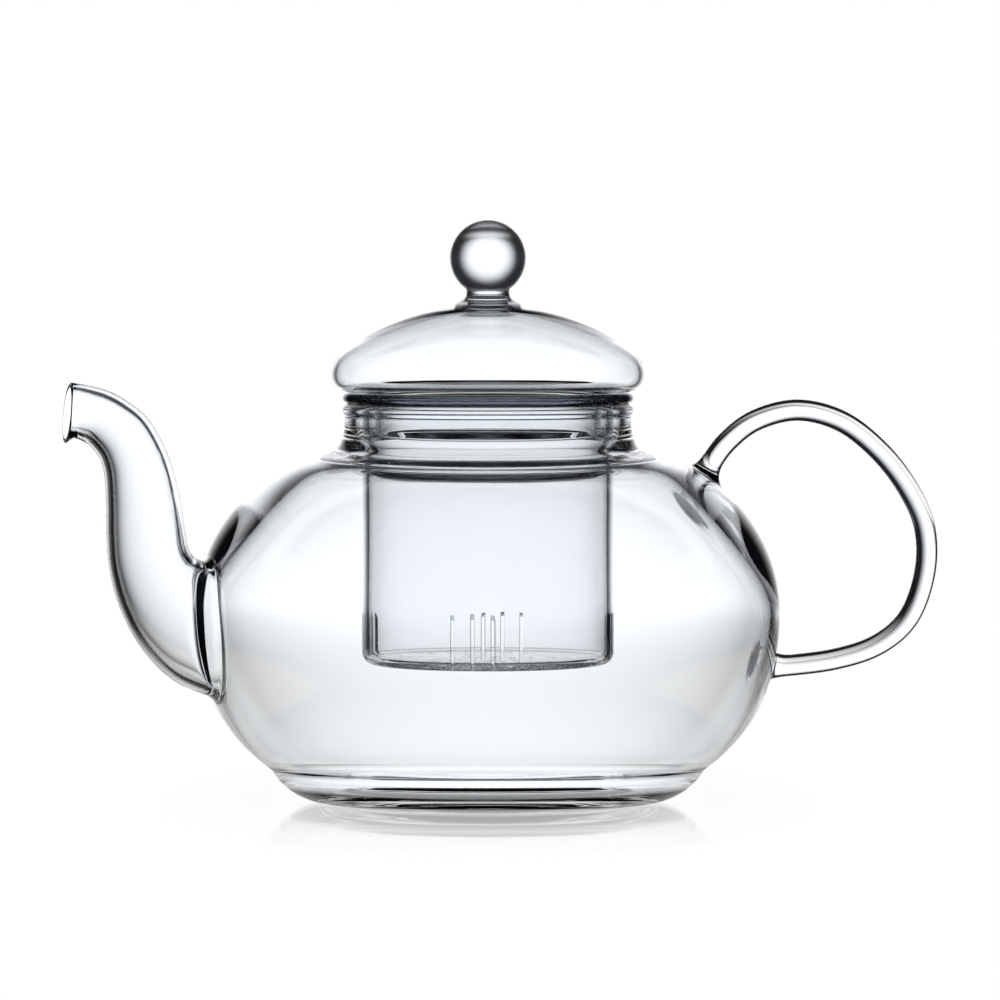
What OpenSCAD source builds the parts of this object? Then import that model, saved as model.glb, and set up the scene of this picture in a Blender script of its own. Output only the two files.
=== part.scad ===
// Clear glass teapot: blown pot with a fused spout and a fused rod handle,
// a drop-in glass infuser with sawn slits, and a hollow glass lid with a ball knob.
// Units are millimetres, +Z is up, the spout points along -X and the handle along +X.
// The origin is the centre of the ring that the pot stands on.

/* [Pot] */
// Diameter of the belly at its widest
belly_d = 140.2; // [136:0.2:144]
// Height of the widest point above the table
belly_z = 45.5; // [44:0.5:47]
// Thickness of the blown wall
pot_wall = 2.2; // [1.8:0.1:2.6]
// Diameter of the ring that touches the table
foot_d = 79; // [77:0.5:81]
// Diameter of the crease between foot and bowl
crease_d = 104.2; // [102:0.2:107]
// Height of that crease
crease_z = 7.9; // [7:0.1:9]
// Rise of the pushed-in base at its centre
kick = 5.5; // [4:0.5:6.5]
// Outer diameter of the straight neck
neck_d = 69; // [68:0.5:70]
// Inner diameter of the neck
neck_bore_d = 63.6; // [63:0.2:64.4]
// Height of the neck's rim
neck_z = 95.9; // [95:0.1:97]

/* [Spout] */
// Thickness of the spout wall
spout_wall = 1.8; // [1.5:0.1:2.1]
// Thickness of the weld ring round the spout's root
collar_d = 3; // [2.6:0.2:3.4]

/* [Handle] */
// Diameter of the solid glass rod
rod_d = 5.2; // [4.8:0.1:5.6]

/* [Infuser] */
// Outer diameter of the infuser's tube
tube_d = 60.5; // [60:0.1:61]
// Wall of the tube
tube_wall = 1.6; // [1.4:0.1:1.8]
// Height of the tube's underside above the table
tube_z = 32.1; // [30:0.5:36]
// Thickness of the infuser's bottom
tube_base = 1.9; // [1.6:0.1:2.2]
// Diameter of the flange that rests on the neck
flange_d = 70; // [69.4:0.1:71]
// Thickness of the flange
flange_t = 2.5; // [2.2:0.1:2.8]
// Width of one sawn slit
slit_w = 0.9; // [0.7:0.1:1.1]
// Distance between neighbouring slits
slit_pitch = 4.8; // [4.4:0.1:5.2]
// Angle the infuser is turned in the neck
infuser_turn = -17; // [-45:1:45]

/* [Lid] */
// Widest diameter of the lid
lid_d = 76.2; // [75.4:0.2:77]
// Wall of the lid
lid_wall = 1.7; // [1.5:0.1:1.9]
// Outer diameter of the skirt that centres the lid
skirt_d = 54.6; // [54:0.1:55]
// Wall of the skirt
skirt_wall = 1.5; // [1.3:0.1:1.7]
// Height of the skirt's lower lip
skirt_z = 86.4; // [85:0.1:88]
// Height of the top of the dome, where the knob's stem stands
dome_z = 120; // [119:0.5:121]
// Diameter of the solid ball knob
knob_d = 18.2; // [16:0.2:20]

/* [Hidden] */

$fn = 96;
glass = [0.86, 0.91, 0.94, 0.45];
glass_edge = [0.55, 0.64, 0.70, 0.7];
glass_fine = [0.78, 0.86, 0.92, 0.5];
glass_lid = [0.90, 0.94, 0.96, 0.5];

belly_r = belly_d / 2;
foot_r = foot_d / 2;
crease_r = crease_d / 2;
neck_r = neck_d / 2;
neck_bore_r = neck_bore_d / 2;
kick_r = 33;
base_t = 2.7;
shoulder = [42.5, 83.2];
neck_root_z = 91.4;
bead_r = neck_r + 0.5;
bead_h = 3.4;
inner_shoulder = [40.4, 78.9];
steps = 14;

tube_r = tube_d / 2;
tube_bore_r = tube_r - tube_wall;
corner_r = 3;
floor_fillet = corner_r - tube_base;
tube_top_z = neck_z + 0.4;
flange_top_z = neck_z + flange_t;
slit_sides = 4;
slits_per_side = 3;
saw_r = 12;
saw_x = tube_r + 8.2;
saw_z = tube_z + 6.6;

lid_r = lid_d / 2;
skirt_r = skirt_d / 2;
rim_z = 103;
rest_z = flange_top_z + 0.05;
seam_z = rest_z + 1;
stem_r = 8;
knob_r = knob_d / 2;
knob_z = dome_z + 10.7;
knob_flat_z = dome_z + 3.3;
knob_flat_r = sqrt(pow(knob_r, 2) - pow(knob_z - knob_flat_z, 2));
waist_r = knob_flat_r - 0.2;

// A cubic curve through four control points, as steps + 1 points.
function curve(p, n = steps) = [
    for (i = [0:n]) let (t = i / n, s = 1 - t)
        s * s * s * p[0] + 3 * s * s * t * p[1] + 3 * s * t * t * p[2] + t * t * t * p[3]
];
// The same curve without its first point, to follow on from another.
function curve_on(p, n = steps) = [for (i = [1:n]) curve(p, n)[i]];
// A stretch of circle in the profile plane.
function arc(centre, r, from, to, n = 8) = [
    for (i = [0:n]) let (a = from + (to - from) * i / n) centre + r * [cos(a), sin(a)]
];
// A value between the rows of a table, on a smooth curve through them all.
function blend(a, b, c, d, t) =
    0.5 * (2 * b + (c - a) * t + (2 * a - 5 * b + 4 * c - d) * t * t + (3 * b - a - 3 * c + d) * t * t * t);
function along(rows, u) =
    let (last = len(rows) - 1, i = min(floor(u), last - 1), t = u - i)
    blend(rows[max(i - 1, 0)], rows[i], rows[i + 1], rows[min(i + 2, last)], t);

// ---- Pot ----

function pot_outside() = concat(
    [[0, kick]],
    curve([[kick_r * 0.4, kick], [kick_r * 0.75, kick], [kick_r * 0.95, kick - 0.6], [kick_r, kick - 1.6]]),
    curve_on([
        [kick_r, kick - 1.6], [kick_r + 1, kick - 3], [foot_r - 5, 0], [foot_r - 2.5, 0]
    ]),
    curve([
        [foot_r, 0], [foot_r + 6, 0.5], [crease_r - 1.9, crease_z - 3.6], [crease_r, crease_z]
    ]),
    curve_on([
        [crease_r, crease_z], [crease_r + 10.5, crease_z + 7.4],
        [belly_r, belly_z - 18.5], [belly_r, belly_z]
    ], 2 * steps),
    curve_on([
        [belly_r, belly_z], [belly_r, belly_z + 19.2],
        [shoulder.x + 13.5, shoulder.y - 4.2], shoulder
    ], 2 * steps),
    curve_on([
        shoulder, [neck_r + 1.9, shoulder.y + 0.8],
        [neck_r + 0.5, shoulder.y + 1.4], [neck_r, neck_root_z]
    ])
);

function pot_rim() = concat(
    [[neck_r, neck_z - bead_h]],
    arc([bead_r - 1.6, neck_z - bead_h + 1.6], 1.6, -40, 0, 4),
    arc([bead_r - 1.6, neck_z - 1.6], 1.6, 0, 90, 6),
    arc([neck_bore_r + 1.2, neck_z - 1.2], 1.2, 90, 180, 5)
);

function pot_inside() = concat(
    curve([
        [neck_bore_r, neck_root_z - 6], [neck_bore_r, inner_shoulder.y + 0.9],
        [neck_bore_r + 2.1, inner_shoulder.y + 0.7], inner_shoulder
    ]),
    curve_on([
        inner_shoulder, [shoulder.x + 7, shoulder.y - 6.7],
        [belly_r - pot_wall - 1.2, belly_z + 17], [belly_r - pot_wall, belly_z]
    ], 2 * steps),
    curve_on([
        [belly_r - pot_wall, belly_z], [belly_r - pot_wall - 0.6, belly_z - 18],
        [crease_r + 6.7, crease_z + 8.7], [crease_r - 1.6, crease_z + 1.4]
    ], 2 * steps),
    curve_on([
        [crease_r - 1.6, crease_z + 1.4], [crease_r - 4, crease_z - 2.6],
        [foot_r + 6, base_t], [foot_r, base_t]
    ]),
    curve_on([
        [foot_r, base_t], [foot_r - 3.5, base_t],
        [kick_r + 2.5, kick + base_t - 2.2], [kick_r - 1, kick + base_t - 1]
    ]),
    curve_on([
        [kick_r - 1, kick + base_t - 1], [kick_r * 0.85, kick + base_t - 0.2],
        [kick_r * 0.6, kick + base_t], [0, kick + base_t]
    ])
);

module spout_hole() {
    translate([-belly_r - 10, 0, root_mid_z])
        rotate([0, 90, 0])
            cylinder(h = 30, r = root_bore_r);
}

module pot_body() {
    color(glass)
        difference() {
            rotate_extrude($fn = 180)
                polygon(concat(pot_outside(), pot_rim(), pot_inside()));
            spout_hole();
        }
}

// ---- Spout ----

// Pairs of points across the spout in the XZ plane, from the mouth to the root:
// the upper edge's x and z, then the lower edge's x and z.
spout_edges = [
    [-100.7, 101.2, -102.0, 86.8],
    [-99.4, 101.0, -100.4, 87.9],
    [-96.2, 100.4, -98.8, 87.5],
    [-91.1, 98.9, -97.0, 86.6],
    [-86.4, 96.1, -95.6, 85.3],
    [-82.8, 93.1, -94.2, 83.5],
    [-79.8, 88.6, -93.4, 81.6],
    [-77.0, 82.4, -92.7, 78.2],
    [-74.8, 74.1, -92.4, 71.4],
    [-73.6, 66.6, -92.3, 64.1],
    [-72.8, 61.8, -91.5, 55.8],
    [-71.4, 59.5, -88.7, 46.3],
    [-69.8, 58.7, -83.4, 36.9],
    [-68.2, 58.4, -75.6, 29.4],
    [-66.6, 58.2, -65.2, 25.2]
];
spout_rings = 42;
spout_sides = 28;
spout_root = spout_edges[len(spout_edges) - 1];
root_mid_z = (spout_root[1] + spout_root[3]) / 2;
root_r = (spout_root[1] - spout_root[3]) / 2;
collar_x = -67.6;
root_bore_r = root_r - spout_wall - 0.8;

// One ring of the spout's skin, inset from the outer surface.
function spout_ring(u, inset) =
    let (
        e = along(spout_edges, u * (len(spout_edges) - 1)),
        high = [e[0], e[1]],
        low = [e[2], e[3]],
        centre = (high + low) / 2,
        r = norm(high - low) / 2 - inset,
        across = (high - low) / norm(high - low)
    )
    [for (k = [0:spout_sides - 1]) let (a = 360 * k / spout_sides)
        [centre.x + r * cos(a) * across.x, r * sin(a), centre.y + r * cos(a) * across.y]];

// A closed skin through a loop of rings with the same number of points.
module skin_of_loop(rings) {
    sides = len(rings[0]);
    count = len(rings);
    polyhedron(
        points = [for (ring = rings) each ring],
        faces = [
            for (i = [0:count - 1], k = [0:sides - 1])
                let (j = (i + 1) % count, m = (k + 1) % sides)
                each [
                    [i * sides + k, j * sides + k, j * sides + m],
                    [i * sides + k, j * sides + m, i * sides + m]
                ]
        ]
    );
}

module spout() {
    color(glass)
        skin_of_loop(concat(
            [for (i = [0:spout_rings]) spout_ring(i / spout_rings, 0)],
            [for (i = [spout_rings:-1:0]) spout_ring(i / spout_rings, spout_wall)]
        ));
}

module spout_collar() {
    lean = atan2(spout_root[2] - spout_root[0], 2 * root_r);
    color(glass_edge)
        translate([collar_x, 0, root_mid_z])
            rotate([0, 90 + lean, 0])
                rotate_extrude()
                    translate([root_r - 0.4, 0])
                        circle(d = collar_d, $fn = 24);
}

// ---- Handle ----

// The rod's centre line in the XZ plane, from the upper weld to the lower one.
handle_line = [
    [53.6, 79.7], [58.2, 86.0], [65.4, 91.4], [75.8, 93.9], [86.6, 91.2], [95.8, 84.2],
    [102.8, 75.4], [107.2, 65.7], [107.4, 54.8], [103.4, 43.7], [95.6, 37.0],
    [84.4, 33.5], [70.1, 31.9]
];
rod_rings = 60;
rod_sides = 16;

function rod_ring(u) =
    let (
        last = len(handle_line) - 1,
        here = along(handle_line, u * last),
        ahead = along(handle_line, min(u + 0.004, 1) * last) - along(handle_line, max(u - 0.004, 0) * last),
        side = [-ahead.y, ahead.x] / norm(ahead)
    )
    [for (k = [0:rod_sides - 1]) let (a = 360 * k / rod_sides)
        [here.x + rod_d / 2 * cos(a) * side.x, rod_d / 2 * sin(a), here.y + rod_d / 2 * cos(a) * side.y]];

module handle_rod() {
    rings = [for (i = [0:rod_rings]) rod_ring(i / rod_rings)];
    last = rod_rings * rod_sides;
    color(glass_edge)
        polyhedron(
            points = [for (ring = rings) each ring],
            faces = concat(
                [[for (k = [0:rod_sides - 1]) k]],
                [for (i = [0:rod_rings - 1], k = [0:rod_sides - 1])
                    let (m = (k + 1) % rod_sides)
                    [i * rod_sides + k, (i + 1) * rod_sides + k, (i + 1) * rod_sides + m, i * rod_sides + m]],
                [[for (k = [rod_sides - 1:-1:0]) last + k]]
            )
        );
}

// A flared foot of glass where the rod is fused to the pot, with its axis along +Z.
module weld(foot, height) {
    rotate_extrude($fn = 48)
        polygon(concat(
            [[0, 0]],
            curve([[foot, 0], [foot * 0.72, height * 0.3], [rod_d / 2 + 0.25, height * 0.55], [rod_d / 2 + 0.2, height]], 6),
            [[0, height]]
        ));
}

module handle_upper_weld() {
    color(glass_edge)
        translate([53.4, 0, 76.1])
            rotate([0, 38, 0])
                weld(5.4, 6.4);
}

module handle_lower_weld() {
    color(glass_edge)
        translate([66.9, 0, 31.6])
            rotate([0, 84, 0])
                weld(4.9, 5);
}

// ---- Infuser ----

module slits() {
    for (side = [0:slit_sides - 1], k = [0:slits_per_side - 1])
        rotate([0, 0, 360 * side / slit_sides])
            translate([saw_x, (k - (slits_per_side - 1) / 2) * slit_pitch, saw_z])
                rotate([90, 0, 0])
                    cylinder(h = slit_w, r = saw_r, center = true);
}

module infuser_tube() {
    color(glass_fine)
        rotate([0, 0, infuser_turn])
            difference() {
                translate([0, 0, tube_z + corner_r])
                    difference() {
                        cylinder(h = tube_top_z - tube_z - corner_r, r = tube_r);
                        translate([0, 0, -1])
                            cylinder(h = tube_top_z, r = tube_bore_r);
                    }
                slits();
            }
}

module infuser_flange() {
    edge = flange_t / 2;
    color(glass_edge)
        rotate_extrude()
            polygon(concat(
                [[tube_r, neck_z + 0.01]],
                arc([flange_d / 2 - edge, neck_z + edge], edge, -90, 90),
                arc([tube_bore_r + 1.2, flange_top_z - 1.2], 1.2, 90, 180, 5),
                [[tube_bore_r, tube_top_z], [tube_r, tube_top_z]]
            ));
}

module infuser_base() {
    color(glass_fine)
        rotate([0, 0, infuser_turn])
            difference() {
                rotate_extrude()
                    polygon(concat(
                        [[0, tube_z]],
                        arc([tube_r - corner_r, tube_z + corner_r], corner_r, -90, 0),
                        arc([tube_bore_r - floor_fillet, tube_z + corner_r], floor_fillet, 0, -90, 5),
                        [[0, tube_z + tube_base]]
                    ));
                slits();
            }
}

// ---- Lid ----

function lid_outside() = concat(
    [[0, dome_z]],
    curve([
        [stem_r, dome_z], [stem_r + 8.5, dome_z - 1.1], [lid_r, rim_z + 7.3], [lid_r, rim_z]
    ], 2 * steps),
    curve_on([
        [lid_r, rim_z], [lid_r, rim_z - 3], [lid_r - 2.6, rest_z], [lid_r - 5, rest_z]
    ]),
    [[skirt_r + 2.4, rest_z + 0.1], [skirt_r + 0.7, rest_z + 0.35], [skirt_r, seam_z]]
);

function lid_inside() = concat(
    [[skirt_r - skirt_wall, seam_z], [skirt_r - skirt_wall, rest_z + 1.6]],
    curve([
        [skirt_r - skirt_wall + 0.5, rest_z + 1.9], [skirt_r + 3, rest_z + 1.8],
        [lid_r - lid_wall, rest_z], [lid_r - lid_wall, rim_z]
    ]),
    curve_on([
        [lid_r - lid_wall, rim_z], [lid_r - lid_wall, rim_z + 6.4],
        [stem_r + 9, dome_z - 3.2], [stem_r, dome_z - 2]
    ], 2 * steps),
    [[0, dome_z - 2]]
);

module lid_shell() {
    color(glass_lid)
        rotate_extrude()
            polygon(concat(lid_outside(), lid_inside()));
}

module lid_skirt() {
    lip = skirt_wall / 2;
    color(glass_lid)
        rotate_extrude()
            polygon(concat(
                [[skirt_r, seam_z]],
                arc([skirt_r - lip, skirt_z + lip], lip, 0, -180, 10),
                [[skirt_r - skirt_wall, seam_z]]
            ));
}

module lid_stem() {
    color(glass_lid)
        rotate_extrude($fn = 48)
            polygon(concat(
                [[0, dome_z]],
                curve([
                    [stem_r, dome_z], [stem_r - 2.4, dome_z + 0.5],
                    [waist_r, dome_z + 1.4], [waist_r, dome_z + 2.6]
                ], 8),
                [[knob_flat_r, knob_flat_z], [0, knob_flat_z]]
            ));
}

module lid_knob() {
    color(glass_edge)
        difference() {
            translate([0, 0, knob_z])
                sphere(r = knob_r);
            translate([0, 0, knob_flat_z - knob_d])
                cylinder(h = knob_d, r = knob_d);
        }
}

pot_body();
spout();
spout_collar();
handle_rod();
handle_upper_weld();
handle_lower_weld();
infuser_tube();
infuser_flange();
infuser_base();
lid_shell();
lid_skirt();
lid_stem();
lid_knob();
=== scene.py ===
"""Looks of a clear glass teapot: fused glass skins for the pot, the infuser and the lid,
their glass materials, and a bright-field studio as used for glassware."""

import math

import bmesh
import bpy
import numpy as np
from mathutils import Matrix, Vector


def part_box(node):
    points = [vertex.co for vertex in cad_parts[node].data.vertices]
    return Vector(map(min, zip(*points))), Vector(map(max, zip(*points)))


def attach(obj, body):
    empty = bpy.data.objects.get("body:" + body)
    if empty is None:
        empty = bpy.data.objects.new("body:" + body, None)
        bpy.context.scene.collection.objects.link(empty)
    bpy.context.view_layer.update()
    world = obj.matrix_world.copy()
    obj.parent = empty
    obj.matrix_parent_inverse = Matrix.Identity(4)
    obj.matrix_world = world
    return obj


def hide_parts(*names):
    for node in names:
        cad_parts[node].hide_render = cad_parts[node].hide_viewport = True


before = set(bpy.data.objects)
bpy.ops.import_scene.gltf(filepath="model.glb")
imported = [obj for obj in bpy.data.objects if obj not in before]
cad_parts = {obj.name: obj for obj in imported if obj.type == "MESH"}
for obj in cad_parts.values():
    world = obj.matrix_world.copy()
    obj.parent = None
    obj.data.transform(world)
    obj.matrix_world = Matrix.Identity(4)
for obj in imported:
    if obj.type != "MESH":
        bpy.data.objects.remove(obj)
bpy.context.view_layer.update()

# Outlines are worked out in millimetres, as (radius, height) or (x, height), and meshes are
# made in metres. The steps are how far apart an outline's points may lie.
MM = 0.001
SEGMENTS = 256
FLOOR_STEP = 2.4
WALL_STEP = 1.6
DOME_STEP = 1.0
FINE_STEP = 0.7
EDGE_STEP = 0.5
TIGHT_STEP = 0.4


# ---- Lines and curves ----

def bezier(controls, count=240):
    """A cubic curve through four control points."""
    p = np.asarray(controls, float)
    t = np.linspace(0, 1, count)[:, None]
    s = 1 - t
    return s**3 * p[0] + 3 * s * s * t * p[1] + 3 * s * t * t * p[2] + t**3 * p[3]


def arc(centre, radius, start, end, count=60):
    """A stretch of circle, with its angles in degrees."""
    a = np.radians(np.linspace(start, end, count))
    return np.stack([centre[0] + radius * np.cos(a), centre[1] + radius * np.sin(a)], axis=1)


def even(points, step):
    """The same line with its points evenly spaced, no further apart than step."""
    points = np.asarray(points, float)
    lengths = np.concatenate([[0], np.cumsum(np.linalg.norm(np.diff(points, axis=0), axis=1))])
    count = max(2, math.ceil(lengths[-1] / step)) + 1
    marks = np.linspace(0, lengths[-1], count)
    return np.stack([np.interp(marks, lengths, axis) for axis in points.T], axis=1)


def join(*stretches):
    """One outline from stretches that follow on from each other, with no point twice."""
    points = np.vstack([np.asarray(s, float) for s in stretches])
    steps = np.linalg.norm(np.diff(points, axis=0), axis=1)
    return points[np.concatenate([[True], steps > 1e-6])]


def along(rows, u):
    """Values between the rows of a table, on a smooth curve through them all."""
    last = len(rows) - 1
    i = np.clip(np.floor(u).astype(int), 0, last - 1)
    t = (u - i)[..., None]
    a, b = rows[np.maximum(i - 1, 0)], rows[i]
    c, d = rows[i + 1], rows[np.minimum(i + 2, last)]
    square = 2 * a - 5 * b + 4 * c - d
    cube = 3 * b - a - 3 * c + d
    return 0.5 * (2 * b + (c - a) * t + square * t**2 + cube * t**3)


def unit(vectors):
    return vectors / np.linalg.norm(vectors, axis=-1, keepdims=True)


# ---- Skins ----

class Skin:
    """The points and faces of one closed glass skin, collected ring by ring. A face's kind is
    the number of its material, and normals holds the points whose normals are known exactly."""

    def __init__(self):
        self.points, self.faces, self.kinds, self.count = [], [], [], 0
        self.normals = {}

    def add(self, points):
        """Adds points in an array of any shape and returns their indices in that shape."""
        points = np.asarray(points, float)
        flat = points.reshape(-1, 3)
        index = np.arange(self.count, self.count + len(flat)).reshape(points.shape[:-1])
        self.points.append(flat)
        self.count += len(flat)
        return index

    def face(self, corners, kind):
        self.faces.append([int(c) for c in corners])
        self.kinds.append(kind)

    def strip(self, ring_a, ring_b, kind):
        """Quads between two closed rings of the same number of points."""
        for a, a2, b2, b in zip(ring_a, np.roll(ring_a, -1), np.roll(ring_b, -1), ring_b):
            self.face((a, a2, b2, b), kind)

    def strips(self, rings, kind):
        for ring_a, ring_b in zip(rings[:-1], rings[1:]):
            self.strip(ring_a, ring_b, kind)

    def turned(self, outline, kind, windows=()):
        """An outline turned round Z, from the axis back to the axis, less the cells in windows."""
        angles = 2 * math.pi * np.arange(SEGMENTS) / SEGMENTS
        rows = outline[1:-1]
        grid = self.add(np.stack([
            rows[:, :1] * np.cos(angles),
            rows[:, :1] * np.sin(angles),
            np.repeat(rows[:, 1:], SEGMENTS, axis=1)
        ], axis=-1))
        for i in range(len(rows) - 1):
            for j in range(SEGMENTS):
                if not any(w.holds(i, j) for w in windows):
                    k = (j + 1) % SEGMENTS
                    self.face((grid[i, j], grid[i, k], grid[i + 1, k], grid[i + 1, j]), kind)
        for end, ring in ((outline[0], grid[0]), (outline[-1], grid[-1])):
            tip = self.add([0, 0, end[1]])
            for a, b in zip(ring, np.roll(ring, -1)):
                self.face((a, b, tip), kind)
        return grid

    def mesh_object(self, name, materials):
        """A smooth-shaded mesh object in metres."""
        mesh = bpy.data.meshes.new(name)
        used = np.unique(np.concatenate(self.faces))
        place_of = {old: new for new, old in enumerate(used.tolist())}
        faces = [[place_of[corner] for corner in face] for face in self.faces]
        mesh.from_pydata((np.vstack(self.points)[used] * MM).tolist(), [], faces)
        for material in materials:
            mesh.materials.append(material)
        mesh.polygons.foreach_set("material_index", self.kinds)
        mesh.polygons.foreach_set("use_smooth", [True] * len(self.faces))
        work = bmesh.new()
        work.from_mesh(mesh)
        bmesh.ops.recalc_face_normals(work, faces=work.faces)
        work.to_mesh(mesh)
        work.free()
        if self.normals:
            normals = [self.normals.get(i, v.normal) for i, v in zip(used.tolist(), mesh.vertices)]
            mesh.normals_split_custom_set_from_vertices(normals)
        thing = bpy.data.objects.new(name, mesh)
        bpy.context.scene.collection.objects.link(thing)
        return thing


class Window:
    """A square of cells that is left out of a turned wall, for a tube or rod to grow from.
    The joint's plane has its origin on the wall, its normal is axis, and up and +Y lie in it.
    stretch is the range of the outline's points that make up the wall, radius_of gives the
    wall's radius at a height, and outward is 1 on the pot's outer wall and -1 on its inner."""

    REACH = 25.0
    HALVINGS = 48

    def __init__(self, outline, stretch, origin, axis, up, cells, radius_of, outward):
        self.origin = np.array([origin[0], 0, origin[1]], float)
        self.axis = unit(np.array([axis[0], 0, axis[1]], float))
        self.up = unit(np.array([up[0], 0, up[1]], float))
        self.side = np.array([0.0, 1.0, 0.0])
        self.radius_of = radius_of
        self.outward = outward
        rows = outline[1:-1]
        distance = np.hypot(rows[:, 0] - abs(origin[0]), rows[:, 1] - origin[1])
        distance[:stretch[0]] = np.inf
        distance[stretch[1]:] = np.inf
        middle_row = int(np.argmin(distance))
        middle_segment = 0 if origin[0] > 0 else SEGMENTS // 2
        self.rows = (middle_row - cells // 2, middle_row + cells // 2)
        self.segments = (middle_segment - cells // 2, middle_segment + cells // 2)

    def holds(self, row, segment):
        shifted = (segment - self.segments[0]) % SEGMENTS
        inside = shifted < self.segments[1] - self.segments[0]
        return self.rows[0] <= row < self.rows[1] and inside

    def place(self, local):
        """The wall's points at (up, side) coordinates in the joint's plane, found along its axis."""
        base = self.origin + local[..., :1] * self.up + local[..., 1:] * self.side
        low = np.full(base.shape[:-1], -self.REACH)
        high = np.full(base.shape[:-1], self.REACH)
        for _ in range(self.HALVINGS):
            middle = (low + high) / 2
            p = base + middle[..., None] * self.axis
            beyond = np.hypot(p[..., 0], p[..., 1]) > self.radius_of(p[..., 2])
            high = np.where(beyond, middle, high)
            low = np.where(beyond, low, middle)
        return base + middle[..., None] * self.axis

    def normals(self, points):
        """The turned wall's own normals at points on it."""
        near = 0.05
        z = points[:, 2]
        around = points[:, :2] / np.hypot(points[:, 0], points[:, 1])[:, None]
        slope = (self.radius_of(z + near) - self.radius_of(z - near)) / (2 * near)
        return self.outward * unit(np.column_stack([around, -slope]))

    def border(self, grid):
        """Indices round the window's edge, from the top towards +Y."""
        (i0, i1), (j0, j1) = self.rows, self.segments
        cells = [(i, j) for i in (i0, i1) for j in range(j0, j1 + 1)]
        cells += [(i, j) for i in range(i0 + 1, i1) for j in (j0, j1)]
        return np.array([grid[i, j % SEGMENTS] for i, j in cells])

    def rings(self, skin, grid, toe_radius, count, kind):
        """Rings from the window's edge in to the round toe of the weld. Returns the last ring,
        its points and the way on from each of them along the wall, towards the weld's middle."""
        points = np.vstack(skin.points)
        edge = self.border(grid)
        local = np.stack([(points[edge] - self.origin) @ self.up, points[edge] @ self.side], axis=1)
        slack = 0.02  # so that a point a hair before the top doesn't come last
        order = np.argsort(np.mod(np.arctan2(local[:, 1], local[:, 0]) + slack, 2 * math.pi))
        edge, local = edge[order], local[order]
        turn = 2 * math.pi * np.arange(len(edge)) / len(edge)
        toe = toe_radius * np.stack([np.cos(turn), np.sin(turn)], axis=1)
        made = [edge]
        for n in range(1, count + 1):
            made.append(skin.add(self.place(local + (toe - local) * n / count)))
        skin.strips(made, kind)
        wall = np.concatenate(made)
        skin.normals.update(zip(wall.tolist(), self.normals(np.vstack(skin.points)[wall]).tolist()))
        just_inside = toe * 0.995
        return made[-1], self.place(toe), unit(self.place(just_inside) - self.place(toe))


def fillet(start, start_way, end, end_way, pull, count):
    """Rings of points that leave one ring along start_way and reach the other along end_way.
    pull is how far the curve holds on to those directions, as a share of the gap."""
    gap = np.linalg.norm(end - start, axis=1, keepdims=True)
    p1 = start + start_way * gap * pull[0]
    p2 = end - end_way * gap * pull[1]
    rings = []
    for n in range(1, count):
        t = n / count
        s = 1 - t
        rings.append(s**3 * start + 3 * s * s * t * p1 + 3 * s * t * t * p2 + t**3 * end)
    return rings


# ---- Pot outline ----

def box_mm(node):
    """The lowest and highest corners of a CAD node, in millimetres."""
    low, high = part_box(node)
    return np.array(low) / MM, np.array(high) / MM


# The numbers of the pot's materials.
WALL, WELD, ROD = 0, 1, 2

# KICK is how high the base is pushed in, CREASE where the bowl meets the foot and SHOULDER
# where it meets the neck, whose inside is BORE_R. The rim of the neck ends in a small bead.
pot_high = box_mm("pot_body")[1]
BELLY_R = pot_high[1]
NECK_Z = pot_high[2]
BELLY_Z = 45.5
POT_WALL = 2.2
FOOT_R = 39.5
CREASE = (52.1, 7.9)
KICK = 5.5
KICK_R = 33.0
BASE_T = 2.7
SHOULDER = (42.5, 83.2)
INNER_SHOULDER = (40.4, 78.9)
NECK_R = 34.5
BORE_R = 31.8
NECK_ROOT_Z = 91.4
BEAD_R = NECK_R + 0.5
BEAD_H = 3.4
BEAD_ROUND = 1.6
BORE_ROUND = 1.2

OUTER_BOWL = [
    CREASE, (CREASE[0] + 10.5, CREASE[1] + 7.4), (BELLY_R, BELLY_Z - 18.5), (BELLY_R, BELLY_Z)
]
OUTER_SHOULDER = [
    (BELLY_R, BELLY_Z), (BELLY_R, BELLY_Z + 19.2), (SHOULDER[0] + 13.5, SHOULDER[1] - 4.2), SHOULDER
]
INNER_SHOULDER_CURVE = [
    INNER_SHOULDER, (SHOULDER[0] + 7, SHOULDER[1] - 6.7),
    (BELLY_R - POT_WALL, BELLY_Z + 15.4), (BELLY_R - POT_WALL, BELLY_Z)
]
INNER_BOWL = [
    (BELLY_R - POT_WALL, BELLY_Z), (BELLY_R - POT_WALL, BELLY_Z - 17.2),
    (CREASE[0] + 6.2, CREASE[1] + 5.5), (CREASE[0] - 2.6, CREASE[1] + 0.5)
]


def pot_outside():
    kick = [
        bezier([(0, KICK), (KICK_R * 0.6, KICK), (KICK_R * 0.95, KICK - 0.6), (KICK_R, KICK - 1.6)]),
        bezier([(KICK_R, KICK - 1.6), (KICK_R + 1, KICK - 3), (FOOT_R - 5, 0), (FOOT_R - 2.5, 0)])
    ]
    foot = bezier([
        (FOOT_R, 0), (FOOT_R + 6, 0.5), (CREASE[0] - 1.9, CREASE[1] - 3.6), CREASE
    ])
    neck = bezier([
        SHOULDER, (NECK_R + 1.9, SHOULDER[1] + 0.8),
        (NECK_R + 0.5, SHOULDER[1] + 1.4), (NECK_R, NECK_ROOT_Z)
    ])
    return join(
        even(kick[0], FLOOR_STEP), even(kick[1], FINE_STEP), even(foot, FINE_STEP),
        even(bezier(OUTER_BOWL), WALL_STEP), even(bezier(OUTER_SHOULDER), WALL_STEP),
        even(neck, FINE_STEP)
    )


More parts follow.
